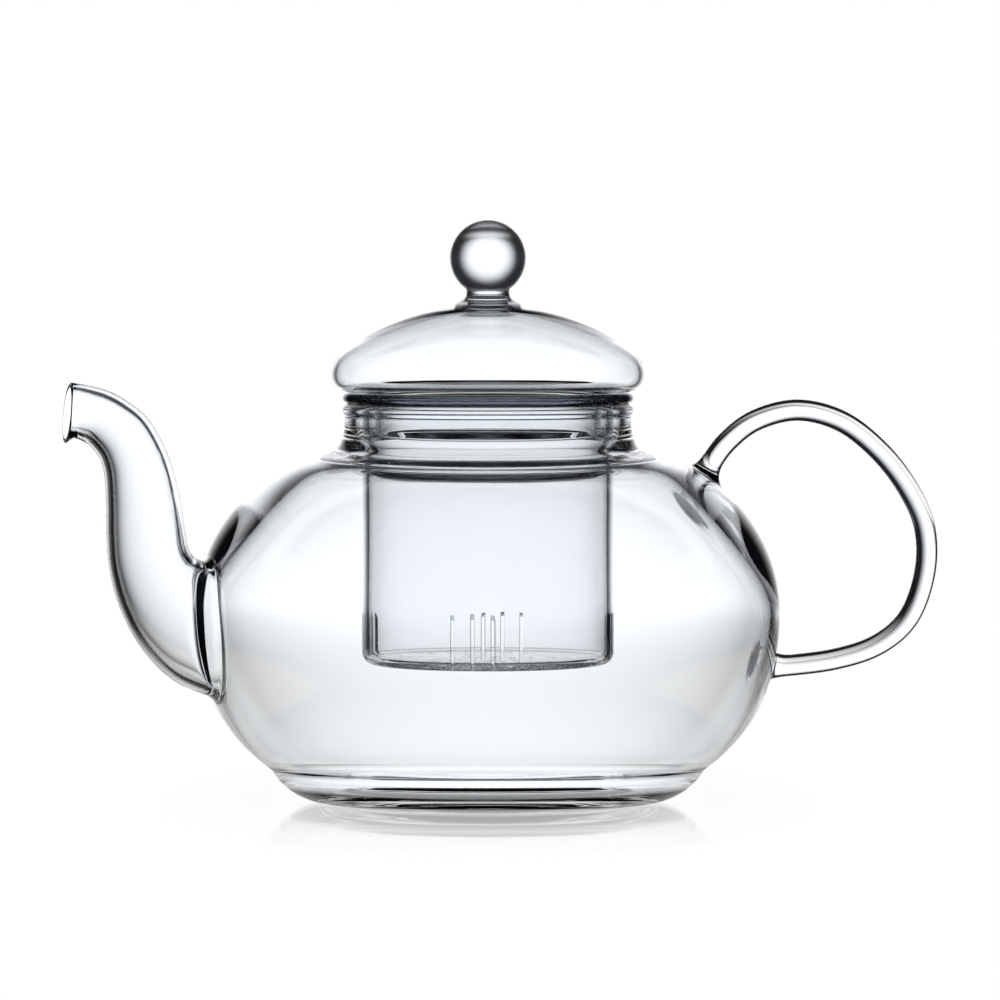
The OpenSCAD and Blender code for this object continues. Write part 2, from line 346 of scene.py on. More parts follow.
def pot_rim():
    centre_x = BEAD_R - BEAD_ROUND
    return join(
        even([(NECK_R, NECK_ROOT_Z), (NECK_R, NECK_Z - BEAD_H)], FINE_STEP),
        arc((centre_x, NECK_Z - BEAD_H + BEAD_ROUND), BEAD_ROUND, -40, 0, 6),
        arc((centre_x, NECK_Z - BEAD_ROUND), BEAD_ROUND, 0, 90, 9),
        arc((BORE_R + BORE_ROUND, NECK_Z - BORE_ROUND), BORE_ROUND, 90, 180, 8)
    )


def pot_inside():
    bore_z = NECK_ROOT_Z - 6
    neck = bezier([
        (BORE_R, bore_z), (BORE_R, INNER_SHOULDER[1] + 0.9),
        (BORE_R + 2.1, INNER_SHOULDER[1] + 0.7), INNER_SHOULDER
    ])
    foot = bezier([
        (CREASE[0] - 2.6, CREASE[1] + 0.5), (CREASE[0] - 3.2, CREASE[1] - 2.6),
        (FOOT_R + 6, BASE_T), (FOOT_R, BASE_T)
    ])
    rise = bezier([
        (FOOT_R, BASE_T), (FOOT_R - 3.5, BASE_T),
        (KICK_R + 2.5, KICK + BASE_T - 2.2), (KICK_R - 1, KICK + BASE_T - 1)
    ])
    floor = bezier([
        (KICK_R - 1, KICK + BASE_T - 1), (KICK_R * 0.85, KICK + BASE_T - 0.2),
        (KICK_R * 0.6, KICK + BASE_T), (0, KICK + BASE_T)
    ])
    return join(
        even([(BORE_R, NECK_Z - BORE_ROUND), (BORE_R, bore_z)], WALL_STEP), even(neck, FINE_STEP),
        even(bezier(INNER_SHOULDER_CURVE), WALL_STEP), even(bezier(INNER_BOWL), WALL_STEP),
        even(foot, FINE_STEP), even(rise, FINE_STEP), even(floor, FLOOR_STEP)
    )


def wall_radius(*controls):
    """A function that gives a turned wall's radius at a height."""
    line = join(*[bezier(c, 3000) for c in controls])
    line = line[np.argsort(line[:, 1])]
    return lambda z: np.interp(z, line[:, 1], line[:, 0])


# ---- Spout ----

# Pairs of points across the spout, from the mouth to the root: the upper edge's x and z, then
# the lower edge's x and z.
SPOUT_EDGES = np.array([
    [-100.7, 101.2, -102.0, 86.8],
    [-99.4, 101.0, -100.4, 87.9],
    [-96.2, 100.4, -98.8, 87.5],
    [-91.1, 98.9, -97.0, 86.6],
    [-86.4, 96.1, -95.6, 85.3],
    [-82.8, 93.1, -94.2, 83.5],
    [-79.8, 88.6, -93.4, 81.6],
    [-77.0, 82.4, -92.7, 78.2],
    [-74.8, 74.1, -92.4, 71.4],
    [-73.6, 66.6, -92.3, 64.1],
    [-72.8, 61.8, -91.5, 55.8],
    [-71.4, 59.5, -88.7, 46.3],
    [-69.8, 58.7, -83.4, 36.9],
    [-68.2, 58.4, -75.6, 29.4],
    [-66.6, 58.2, -65.2, 25.2]
])

# A place u counts rows of that table. The tube begins on a ring that runs from ROOT_TOP_U at its
# top to ROOT_LOW_U at its bottom. The toes are the radii of the weld on the pot's two walls, and
# INNER_BEAD tips the inner one into the pot. MOUTH_U and NEAR_U are short steps of u, over which
# directions are taken.
LIP_WALL = 1.1
SPOUT_WALL = 1.8
ROOT_WALL = 2.2
LIP_END_U = 3
WELD_START_U = 10
LAST_U = len(SPOUT_EDGES) - 1
LIP_CUTS = 7
MOUTH_U = 0.2
NEAR_U = 0.05
SPOUT_CELLS = 28
SPOUT_STEP = 1.3
ROOT_TOP_U = 12.4
ROOT_LOW_U = 13.6
OUTER_ROOT_X = -69.9
INNER_ROOT_X = -67.7
ROOT_Z = (SPOUT_EDGES[-1][1] + SPOUT_EDGES[-1][3]) / 2
ROOT_R = (SPOUT_EDGES[-1][1] - SPOUT_EDGES[-1][3]) / 2
OUTER_TOE = ROOT_R + 2.0
INNER_TOE = ROOT_R - 0.2
INNER_BEAD = np.array([1.5, 0, 0])


def spout_wall(u):
    """The spout's wall: drawn thin at the lip and left thick at the weld."""
    places = [0, LIP_END_U, WELD_START_U, LAST_U]
    return np.interp(u, places, [LIP_WALL, SPOUT_WALL, SPOUT_WALL, ROOT_WALL])


def spout_point(u, turn, depth):
    """A point of the spout's skin: u is the place along the table, turn the angle round and
    depth the share of the wall that it lies beneath the outer surface."""
    e = along(SPOUT_EDGES, u)
    high, low = e[..., :2], e[..., 2:]
    centre = (high + low) / 2
    across = unit(high - low)
    r = np.linalg.norm(high - low, axis=-1) / 2 - depth * spout_wall(u)
    x = centre[..., 0] + r * np.cos(turn) * across[..., 0]
    z = centre[..., 1] + r * np.cos(turn) * across[..., 1]
    return np.stack([x, r * np.sin(turn), z], axis=-1)


def even_places(line_of, start, end, step):
    """Places u from start to end at which line_of(u) moves on by equal lengths."""
    u = np.linspace(start, end, 800)
    line = line_of(u)
    lengths = np.concatenate([[0], np.cumsum(np.linalg.norm(np.diff(line, axis=0), axis=1))])
    marks = np.linspace(0, lengths[-1], math.ceil(lengths[-1] / step) + 1)
    return np.interp(marks, lengths, u)


def spout_middle(u):
    e = along(SPOUT_EDGES, u)
    return (e[..., :2] + e[..., 2:]) / 2


def add_spout(skin, grid, windows):
    """The spout's outer skin, its lip and its bore, fused to the pot's two walls."""
    sides = 4 * SPOUT_CELLS
    turn = 2 * math.pi * np.arange(sides) / sides
    lift = (1 + np.cos(turn)) / 2
    root_u = ROOT_TOP_U * lift + ROOT_LOW_U * (1 - lift)
    shares = even_places(spout_middle, 0, ROOT_TOP_U, SPOUT_STEP)[::-1] / ROOT_TOP_U
    loops = []
    joints = zip(windows, (OUTER_TOE, INNER_TOE), (0, 1), (0, INNER_BEAD))
    for window, toe_radius, depth, bead in joints:
        ring, toe_points, way = window.rings(skin, grid, toe_radius, count=5, kind=WALL)
        first = spout_point(root_u, turn, depth)
        leaving = unit(spout_point(root_u - NEAR_U, turn, depth) - first)
        rings = fillet(toe_points, unit(way + bead), first, leaving, pull=(0.4, 0.4), count=8)
        tube = [spout_point(root_u * share, turn, depth) for share in shares]
        weld = [ring] + [skin.add(r) for r in rings] + [skin.add(tube[0])]
        skin.strips(weld, WELD)
        spout = [weld[-1]] + [skin.add(r) for r in tube[1:]]
        skin.strips(spout, WALL)
        loops.append(spout[-1])
    rim, bore = (spout_point(np.zeros(sides), turn, depth) for depth in (0, 1))
    facing = unit(spout_middle(np.zeros(1)) - spout_middle(np.full(1, MOUTH_U)))[0]
    facing = np.array([facing[0], 0, facing[1]])
    lip = [loops[0]]
    for a in math.pi * np.arange(1, LIP_CUTS) / LIP_CUTS:
        share = (1 - math.cos(a)) / 2
        lip.append(skin.add(rim + (bore - rim) * share + facing * math.sin(a) * LIP_WALL * 0.5))
    skin.strips(lip + [loops[1]], WALL)


# ---- Handle ----

# The middle of the rod, as x and z. A place u counts its points. Each weld stands on the wall
# at a point, spreads to the radius of its toe, and points to the line at its AIM_U.
HANDLE_LINE = np.array([
    [53.6, 79.7], [58.2, 86.0], [65.4, 91.4], [75.8, 93.9], [86.6, 91.2], [95.8, 84.2],
    [102.8, 75.4], [107.2, 65.7], [107.4, 54.8], [103.4, 43.7], [95.6, 37.0],
    [84.4, 33.5], [70.1, 31.9]
])
ROD_R = 2.6
ROD_STEP = 1.5
ROD_START_U = 0.55
ROD_END_U = len(HANDLE_LINE) - 1.4
HANDLE_CELLS = 12
UPPER_WELD = (53.4, 76.1)
LOWER_WELD = (66.9, 31.6)
UPPER_AIM_U = 0.4
LOWER_AIM_U = 11.4
UPPER_TOE = 6.8
LOWER_TOE = 5.6


def handle_point(u, turn):
    """A point of the rod's surface: u is the place along the line and turn the angle round."""
    near = 0.02
    here = along(HANDLE_LINE, u)
    ahead = unit(along(HANDLE_LINE, u + near) - along(HANDLE_LINE, u - near))
    x = here[..., 0] - ROD_R * np.cos(turn) * ahead[..., 1]
    z = here[..., 1] + ROD_R * np.cos(turn) * ahead[..., 0]
    return np.stack([x, ROD_R * np.sin(turn), z], axis=-1)


def add_handle(skin, grid, windows):
    """The solid rod, fused to the pot's outer wall at both ends."""
    sides = 4 * HANDLE_CELLS
    turn = 2 * math.pi * np.arange(sides) / sides
    places = even_places(lambda u: along(HANDLE_LINE, u), ROD_START_U, ROD_END_U, ROD_STEP)
    rod = [skin.add(handle_point(np.full(sides, u), turn)) for u in places]
    skin.strips(rod, ROD)
    ends = (
        (windows[0], UPPER_TOE, rod[0], ROD_START_U, NEAR_U),
        (windows[1], LOWER_TOE, rod[-1], ROD_END_U, -NEAR_U)
    )
    for window, toe_radius, rod_ring, u, step in ends:
        ring, toe_points, way = window.rings(skin, grid, toe_radius, count=4, kind=WALL)
        first = handle_point(np.full(sides, u), turn)
        leaving = unit(handle_point(np.full(sides, u + step), turn) - first)
        rings = fillet(toe_points, way, first, leaving, pull=(0.4, 0.5), count=10)
        skin.strips([ring] + [skin.add(r) for r in rings] + [rod_ring], WELD)


def way_along_handle(u, start):
    """The direction from a weld to the handle's line at u."""
    return unit(along(HANDLE_LINE, np.array([u])) - np.array([start]))[0]


def make_pot(materials):
    """Body, spout and handle as one skin."""
    outside, rim, inside = pot_outside(), pot_rim(), pot_inside()
    outline = join(outside, rim, inside)
    outer_rows = (0, len(outside))
    inner_rows = (len(outside) + len(rim), len(outline) - 2)
    outer_radius = wall_radius(OUTER_BOWL, OUTER_SHOULDER)
    inner_radius = wall_radius(INNER_SHOULDER_CURVE, INNER_BOWL)
    out, up = (-1, 0), (0, 1)
    outer_root, inner_root = (OUTER_ROOT_X, ROOT_Z), (INNER_ROOT_X, ROOT_Z)
    spout_windows = (
        Window(outline, outer_rows, outer_root, out, up, SPOUT_CELLS, outer_radius, 1),
        Window(outline, inner_rows, inner_root, out, up, SPOUT_CELLS, inner_radius, -1)
    )
    upper = way_along_handle(UPPER_AIM_U, UPPER_WELD)
    lower = way_along_handle(LOWER_AIM_U, LOWER_WELD)
    upper_side, lower_side = (-upper[1], upper[0]), (lower[1], -lower[0])
    handle_windows = (
        Window(outline, outer_rows, UPPER_WELD, upper, upper_side, HANDLE_CELLS, outer_radius, 1),
        Window(outline, outer_rows, LOWER_WELD, lower, lower_side, HANDLE_CELLS, outer_radius, 1)
    )
    skin = Skin()
    grid = skin.turned(outline, WALL, spout_windows + handle_windows)
    add_spout(skin, grid, spout_windows)
    add_handle(skin, grid, handle_windows)
    return skin.mesh_object("pot_glass", materials)


# ---- Infuser ----

# The numbers of the infuser's materials.
TUBE, BOTTOM, SEAT, SLIT = 0, 1, 2, 3

# The slits are sawn by discs of radius SAW_R, whose middles lie SAW_OUT outside the tube and
# SAW_UP above its bottom.
tube_high = box_mm("infuser_tube")[1]
base_low = box_mm("infuser_base")[0]
flange_low, flange_high = box_mm("infuser_flange")
TUBE_R = tube_high[0]
TUBE_WALL = 1.6
TUBE_Z = base_low[2]
TUBE_BASE = 1.9
CORNER_R = 3.0
FLANGE_R = flange_high[0]
FLANGE_LOW = flange_low[2]
FLANGE_TOP = flange_high[2]
FLANGE_ROOT = 0.8
FLANGE_ROUND = 1.2
TUBE_STEP = 2.0
BOTTOM_STEP = 3.0
SLIT_W = 0.9
SLIT_PITCH = 4.8
SAW_R = 12.0
SAW_OUT = 8.2
SAW_UP = 6.6
INFUSER_TURN = math.radians(-17)


def infuser_outline():
    bore_r = TUBE_R - TUBE_WALL
    edge = (FLANGE_TOP - FLANGE_LOW) / 2
    fillet_r = CORNER_R - TUBE_BASE
    floor_z = TUBE_Z + TUBE_BASE
    corner_z = TUBE_Z + CORNER_R
    root_z = FLANGE_LOW - FLANGE_ROOT
    round_z = FLANGE_TOP - FLANGE_ROUND
    return join(
        even([(0, TUBE_Z), (TUBE_R - CORNER_R, TUBE_Z)], BOTTOM_STEP),
        arc((TUBE_R - CORNER_R, corner_z), CORNER_R, -90, 0, 12),
        even([(TUBE_R, corner_z), (TUBE_R, root_z)], TUBE_STEP),
        arc((TUBE_R + FLANGE_ROOT, root_z), FLANGE_ROOT, 180, 90, 6),
        arc((FLANGE_R - edge, FLANGE_LOW + edge), edge, -90, 90, 16),
        arc((bore_r + FLANGE_ROUND, round_z), FLANGE_ROUND, 90, 180, 8),
        even([(bore_r, round_z), (bore_r, corner_z)], TUBE_STEP),
        arc((bore_r - fillet_r, corner_z), fillet_r, 0, -90, 8),
        even([(bore_r - fillet_r, floor_z), (0, floor_z)], BOTTOM_STEP)
    )


def saw_blades():
    """Discs that cut the slits, three abreast on each of four sides, as one mesh object."""
    work = bmesh.new()
    for side in range(4):
        for k in (-1, 0, 1):
            disc = bmesh.ops.create_cone(
                work, cap_ends=True, segments=96,
                radius1=SAW_R * MM, radius2=SAW_R * MM, depth=SLIT_W * MM
            )["verts"]
            a = INFUSER_TURN + side * math.pi / 2
            for v in disc:
                x, y, z = v.co
                along_x = (TUBE_R + SAW_OUT) * MM + x
                along_y = k * SLIT_PITCH * MM + z
                v.co = (
                    along_x * math.cos(a) - along_y * math.sin(a),
                    along_x * math.sin(a) + along_y * math.cos(a),
                    (TUBE_Z + SAW_UP) * MM + y
                )
    bmesh.ops.recalc_face_normals(work, faces=work.faces)
    mesh = bpy.data.meshes.new("saw_blades")
    work.to_mesh(mesh)
    work.free()
    blades = bpy.data.objects.new("saw_blades", mesh)
    bpy.context.scene.collection.objects.link(blades)
    return blades


def cut(thing, cutter):
    """Takes cutter away from thing, removes it and keeps the cut's edges sharp."""
    boolean = thing.modifiers.new("cut", "BOOLEAN")
    boolean.object = cutter
    boolean.operation = "DIFFERENCE"
    boolean.solver = "EXACT"
    graph = bpy.context.evaluated_depsgraph_get()
    mesh = bpy.data.meshes.new_from_object(thing.evaluated_get(graph))
    thing.modifiers.clear()
    old = thing.data
    thing.data = mesh
    mesh.name = old.name
    bpy.data.meshes.remove(old)
    bpy.data.objects.remove(cutter)
    mesh.set_sharp_from_angle(angle=math.radians(35))


def infuser_kind(r, z):
    """The material of a face whose middle is at radius r and height z."""
    margin = 0.1
    # Faces wider than the tube are the flange's seat, which gets the nearly black glass of painted
    # shade.
    if r > TUBE_R + 3 * margin:
        return SEAT
    # Faces of the flat bottom get the grey glass of painted shade.
    if r < TUBE_R - CORNER_R and z < TUBE_Z + TUBE_BASE + margin:
        return BOTTOM
    # Faces inside the wall are the slits' cut faces, which get the dark grey glass of painted shade.
    within_wall = TUBE_R - TUBE_WALL + margin < r < TUBE_R - margin
    if within_wall and TUBE_Z + CORNER_R < z < TUBE_Z + 2 * SAW_R:
        return SLIT
    return TUBE


def make_infuser(materials):
    """Tube, flange and slitted bottom as one skin."""
    skin = Skin()
    skin.turned(infuser_outline(), TUBE)
    infuser = skin.mesh_object("infuser_glass", materials)
    cut(infuser, saw_blades())
    for face in infuser.data.polygons:
        middle = face.center / MM
        face.material_index = infuser_kind(math.hypot(middle.x, middle.y), middle.z)
    return infuser


# ---- Lid ----

# The numbers of the lid's materials.
LID, KNOB = 0, 1

# The dome starts at STEM_R and DOME_Z, is widest at RIM_Z and rests on the infuser at REST_Z.
lid_low, lid_high = box_mm("lid_shell")
skirt_low, skirt_high = box_mm("lid_skirt")
knob_low, knob_high = box_mm("lid_knob")
LID_R = lid_high[0]
LID_WALL = 1.7
SKIRT_R = skirt_high[0]
SKIRT_WALL = 1.5
SKIRT_Z = skirt_low[2]
DOME_Z = 120.0
RIM_Z = 103.0
REST_Z = lid_low[2]
STEM_R = 8.0
KNOB_R = (knob_high[0] - knob_low[0]) / 2
KNOB_Z = knob_high[2] - KNOB_R
WAIST_R = 5.1


def lid_outline():
    waist_z = DOME_Z + 2.8
    knob_end = math.degrees(math.asin((waist_z + 0.5 - KNOB_Z) / KNOB_R))
    knob = arc((0, KNOB_Z), KNOB_R, 90, knob_end, 50)
    flare = bezier([
        (WAIST_R, waist_z), (WAIST_R, waist_z - 1.6), (STEM_R - 2.4, DOME_Z + 0.5), (STEM_R, DOME_Z)
    ])
    stem = join([knob[-1]], flare)
    dome = bezier([
        (STEM_R, DOME_Z), (STEM_R + 8.5, DOME_Z - 1.1), (LID_R, RIM_Z + 7.3), (LID_R, RIM_Z)
    ])
    rim = bezier([(LID_R, RIM_Z), (LID_R, RIM_Z - 3), (LID_R - 2.6, REST_Z), (LID_R - 5, REST_Z)])
    root = bezier([
        (LID_R - 5, REST_Z), (SKIRT_R + 2.8, REST_Z), (SKIRT_R, REST_Z + 0.5), (SKIRT_R, REST_Z - 1.2)
    ])
    skirt_inner = SKIRT_R - SKIRT_WALL
    lip = SKIRT_WALL / 2
    inner_rim = bezier([
        (skirt_inner + 0.5, REST_Z + 1.9), (SKIRT_R + 3, REST_Z + 1.8),
        (LID_R - LID_WALL, REST_Z), (LID_R - LID_WALL, RIM_Z)
    ])
    inner_dome = bezier([
        (LID_R - LID_WALL, RIM_Z), (LID_R - LID_WALL, RIM_Z + 6.4), (STEM_R + 9, DOME_Z - 3.2),
        (STEM_R, DOME_Z - 2)
    ])
    inner_crown = bezier([
        (STEM_R, DOME_Z - 2), (STEM_R - 3, DOME_Z - 1.6), (STEM_R - 5, DOME_Z - 1.5), (0, DOME_Z - 1.5)
    ])
    return join(
        even(knob, EDGE_STEP), even(stem, TIGHT_STEP), even(dome, DOME_STEP),
        even(rim, EDGE_STEP), even(root, TIGHT_STEP),
        even([(SKIRT_R, REST_Z - 1.2), (SKIRT_R, SKIRT_Z + lip)], WALL_STEP),
        arc((SKIRT_R - lip, SKIRT_Z + lip), lip, 0, -180, 14),
        even([(skirt_inner, SKIRT_Z + lip), (skirt_inner, REST_Z + 1)], WALL_STEP),
        even(inner_rim, EDGE_STEP), even(inner_dome, DOME_STEP), even(inner_crown, DOME_STEP)
    )


def make_lid(materials):
    """Shell, skirt, stem and ball as one skin."""
    skin = Skin()
    skin.turned(lid_outline(), LID)
    lid = skin.mesh_object("lid_glass", materials)
    for face in lid.data.polygons:
        # The ball's faces get the knob's darker glass, painted shade that dims its highlight.
        if face.center.z > (KNOB_Z - KNOB_R) * MM:
            face.material_index = KNOB
    return lid


# ---- Materials ----

class Nodes:
    """Short calls for building a node tree. An input is given as a value or as another node's
    output."""

    def __init__(self, tree):
        self.tree = tree
        tree.nodes.clear()

    def feed(self, socket, value):
        if isinstance(value, bpy.types.NodeSocket):
            self.tree.links.new(value, socket)
        else:
            socket.default_value = value

    def add(self, kind, **settings):
        """A node with its own settings given as name=value."""
        node = self.tree.nodes.new(kind)
        for name, value in settings.items():
            setattr(node, name, value)
        return node

    def set(self, node, **inputs):
        """The same node with its inputs given by name."""
        for name, value in inputs.items():
            self.feed(node.inputs[name.replace("_", " ")], value)
        return node

    def fill(self, node, *inputs):
        """The same node with its inputs given in order."""
        for socket, value in zip(node.inputs, inputs):
            self.feed(socket, value)
        return node

    def math(self, operation, a, b):
        return self.fill(self.add("ShaderNodeMath", operation=operation), a, b).outputs[0]

    def length(self, vector):
        node = self.add("ShaderNodeVectorMath", operation="LENGTH")
        return self.fill(node, vector).outputs["Value"]

    def mix(self, share, first, second):
        """Two shaders mixed, with share of the second."""
        node = self.fill(self.add("ShaderNodeMixShader"), share, first.outputs[0], second.outputs[0])
        return node.outputs[0]


def smooth_range(nodes, value, start, end, low, high):
    """A value mapped from start..end to low..high along a smooth step."""
    node = nodes.add("ShaderNodeMapRange", interpolation_type="SMOOTHSTEP")
    nodes.set(node, Value=value, From_Min=start, From_Max=end, To_Min=low, To_Max=high)
    return node.outputs["Result"]


GLASS_IOR = 1.47
SPECK_SIZE = 0.0012
SPECK_EDGE = (0.5, 0.62)


def glass_material(name, tint, waves, wave_size, stretch, speckle=0.0, haze=0.0):
    """Clear glass with the faint, drawn-out unevenness that flame working leaves: waves is its
    height and wave_size its width in metres, stretched along an axis by a scale below 1.
    speckle is how rough its scattered matt specks are and haze how rough the rest of it is."""
    material = bpy.data.materials.new(name)
    material.use_nodes = True
    nodes = Nodes(material.node_tree)
    place = nodes.add("ShaderNodeTexCoord").outputs["Object"]
    scaled = nodes.set(nodes.add("ShaderNodeMapping"), Vector=place, Scale=stretch).outputs["Vector"]
    noise = nodes.set(
        nodes.add("ShaderNodeTexNoise"), Vector=scaled, Scale=1 / wave_size, Detail=1.5, Roughness=0.4
    ).outputs["Fac"]
    bump = nodes.set(nodes.add("ShaderNodeBump"), Height=noise, Strength=1.0, Distance=waves)
    specks = nodes.set(
        nodes.add("ShaderNodeTexNoise"), Vector=place, Scale=1 / SPECK_SIZE, Detail=2.0, Roughness=0.6
    ).outputs["Fac"]
    matt = smooth_range(nodes, specks, *SPECK_EDGE, haze, max(speckle, haze))
    glass = nodes.set(
        nodes.add("ShaderNodeBsdfPrincipled"), Base_Color=(*tint, 1), Roughness=matt, IOR=GLASS_IOR,
        Transmission_Weight=1.0, Normal=bump.outputs["Normal"]
    )
    output = nodes.add("ShaderNodeOutputMaterial")
    nodes.set(output, Surface=glass.outputs["BSDF"])
    return material


# ---- Studio ----

# The camera looks at a point a little to the right of the pot's axis, from a long way off.
CAMERA_AZIMUTH = math.radians(-10)
CAMERA_DISTANCE = 2.4
CAMERA_HEIGHT = 0.15
VIEW_WIDTH = 0.24
AIM_RIGHT = 0.0029
AIM_Z = 0.0726
SENSOR_WIDTH = 36.0

# A round pool of light on a card behind the pot. CORE and RIM are shares of its half-width W and
# half-height H, and PEAK and DIM the light inside and outside it.
CARD_DISTANCE = 0.34
CARD_W = 0.27
CARD_H = 0.4
POOL_Z = 0.116
POOL_W = 0.19
POOL_H = 0.17
POOL_CORE = 0.45
POOL_RIM = 1.35
POOL_PEAK = 1.32
POOL_DIM = 0.015
POOL_TINT = (0.955, 0.972, 1.0)

# The floor as glass sees it, along its surface from SWEEP_FRONT on, and from higher up in a
# pool that lies behind the pot. Pairs of angles are Layer Weight's facing.
SWEEP_FRONT = -0.06
GRAZING = (0.76, 0.88)
HIGH_POOL_Y = 0.17
HIGH_POOL_W = 0.125
HIGH_POOL_H = 0.2
HIGH_LEVEL = 0.8
HIGH_SHALLOW = (0.76, 0.84)
HIGH_STEEP = (0.42, 0.56)
UNDER_GLOW = 0.08
UNDER_RADII = (0.03, 0.045)

# The reflection in the floor fades away from the pot and from steeper angles.
FLOOR_RADIUS = 5.0
FLOOR_SIDES = 128
FLOOR_Z = -0.00003
MIRROR_SQUASH = 2.6
MIRROR_RADII = (0.05, 0.22)
MIRROR_SHARE = 0.6
MIRROR_FACING = (0.5, 0.95)
MIRROR_STEEP = 0.2
MIRROR_ROUGHNESS = 0.03
DARK = (0.013, 0.016, 0.022)


def make_camera():
    """A long lens at the photo's angle."""
    camera_data = bpy.data.cameras.new("camera")
    camera = bpy.data.objects.new("camera", camera_data)
    bpy.context.scene.collection.objects.link(camera)
    right = np.array([math.cos(CAMERA_AZIMUTH), math.sin(CAMERA_AZIMUTH), 0])
    back = np.array([math.sin(CAMERA_AZIMUTH), -math.cos(CAMERA_AZIMUTH), 0])
    target = right * AIM_RIGHT + np.array([0, 0, AIM_Z])
    place = right * AIM_RIGHT + back * CAMERA_DISTANCE + np.array([0, 0, CAMERA_HEIGHT])
    camera.location = place
    way = Vector(target - place)
    camera.rotation_mode = "QUATERNION"
    camera.rotation_quaternion = way.to_track_quat("-Z", "Y")
    camera_data.sensor_width = SENSOR_WIDTH
    camera_data.lens = SENSOR_WIDTH * CAMERA_DISTANCE / VIEW_WIDTH
    camera_data.clip_start = 0.05
    camera_data.clip_end = 50
    bpy.context.scene.camera = camera
    return camera


def make_rig(camera):
    """An empty that turns about Z to keep the backlight behind the object, as on a real set
    where camera and backdrop face each other."""
    rig = bpy.data.objects.new("studio_rig", None)
    bpy.context.scene.collection.objects.link(rig)
    follow = rig.constraints.new("LOCKED_TRACK")
    follow.target = camera
    follow.track_axis = "TRACK_NEGATIVE_Y"
    follow.lock_axis = "LOCK_Z"
    return rig


def pool_level(nodes, place, shift, scale):
    """The light's level in a round pool that fades out towards its rim. The place is scaled and
    then shifted, so that the pool's middle comes to 0 and its half-width to 1."""
    in_pool = nodes.set(nodes.add("ShaderNodeMapping"), Vector=place, Location=shift, Scale=scale)
    radius = nodes.length(in_pool.outputs["Vector"])
    return smooth_range(nodes, radius, POOL_CORE, POOL_RIM, POOL_PEAK, POOL_DIM)


def back_material():
    """A diffuser with a pool of light on it."""
    material = bpy.data.materials.new("back_card")
    material.use_nodes = True
    nodes = Nodes(material.node_tree)
    place = nodes.add("ShaderNodeTexCoord").outputs["Object"]
    level = pool_level(nodes, place, (0, -POOL_Z / POOL_H, 0), (1 / POOL_W, 1 / POOL_H, 1))
    light = nodes.set(nodes.add("ShaderNodeEmission"), Color=(*POOL_TINT, 1), Strength=level)
    nodes.set(nodes.add("ShaderNodeOutputMaterial"), Surface=light.outputs[0])
    return material


def make_back_card(rig):
    """An upright flat light behind the pot that only glass sees."""
    mesh = bpy.data.meshes.new("back_card")
    corners = [(-CARD_W, 0, 0), (CARD_W, 0, 0), (CARD_W, CARD_H, 0), (-CARD_W, CARD_H, 0)]
    mesh.from_pydata(corners, [], [(0, 1, 2, 3)])
    mesh.materials.append(back_material())
    card = bpy.data.objects.new("back_card", mesh)
    bpy.context.scene.collection.objects.link(card)
    card.location = (0, CARD_DISTANCE, 0)
    card.rotation_euler = (math.pi / 2, 0, 0)
    card.parent = rig
    card.visible_camera = False
    card.visible_diffuse = False
    card.visible_shadow = False


def make_world():
    """White to the eye and nearly black to glass."""
    world = bpy.data.worlds.new("studio")
    bpy.context.scene.world = world
    world.use_nodes = True
    nodes = Nodes(world.node_tree)
    seen = nodes.add("ShaderNodeLightPath").outputs["Is Camera Ray"]
    white = nodes.set(nodes.add("ShaderNodeBackground"), Color=(1, 1, 1, 1), Strength=1.0)
    dark = nodes.set(nodes.add("ShaderNodeBackground"), Color=(*DARK, 1), Strength=1.0)
    nodes.set(nodes.add("ShaderNodeOutputWorld"), Surface=nodes.mix(seen, dark, white))


def high_pool(nodes, place, facing):
    """A pool of light on the floor behind the pot, as sight lines from higher up meet it."""
    shift = (0, -HIGH_POOL_Y / HIGH_POOL_H, 0)
    level = pool_level(nodes, place, shift, (1 / HIGH_POOL_W, 1 / HIGH_POOL_H, 1))
    level = nodes.math("MULTIPLY", level, smooth_range(nodes, facing, *HIGH_SHALLOW, HIGH_LEVEL, 0.0))
    return nodes.math("MULTIPLY", level, smooth_range(nodes, facing, *HIGH_STEEP, 0.0, 1.0))


def floor_for_glass(nodes):
    """Polished white acrylic as glass sees it: as bright as the card's foot along its surface,
    lit in a pool from higher up, and faintly lit from below where the pot stands."""
    place = nodes.add("ShaderNodeTexCoord").outputs["Object"]
    depth = nodes.set(nodes.add("ShaderNodeSeparateXYZ"), Vector=place).outputs["Y"]
    facing = nodes.add("ShaderNodeLayerWeight").outputs["Facing"]
    foot = pool_level(nodes, place, (0, -POOL_Z / POOL_H, 0), (1 / POOL_W, 0, 1))
    level = nodes.math("MULTIPLY", foot, smooth_range(nodes, depth, SWEEP_FRONT, 0.0, 0.0, 1.0))
    level = nodes.math("MULTIPLY", level, smooth_range(nodes, facing, *GRAZING, POOL_DIM, 1.0))
    level = nodes.math("MAXIMUM", level, high_pool(nodes, place, facing))
    under = smooth_range(nodes, nodes.length(place), *UNDER_RADII, UNDER_GLOW, 0.0)
    return nodes.math("MAXIMUM", level, under)


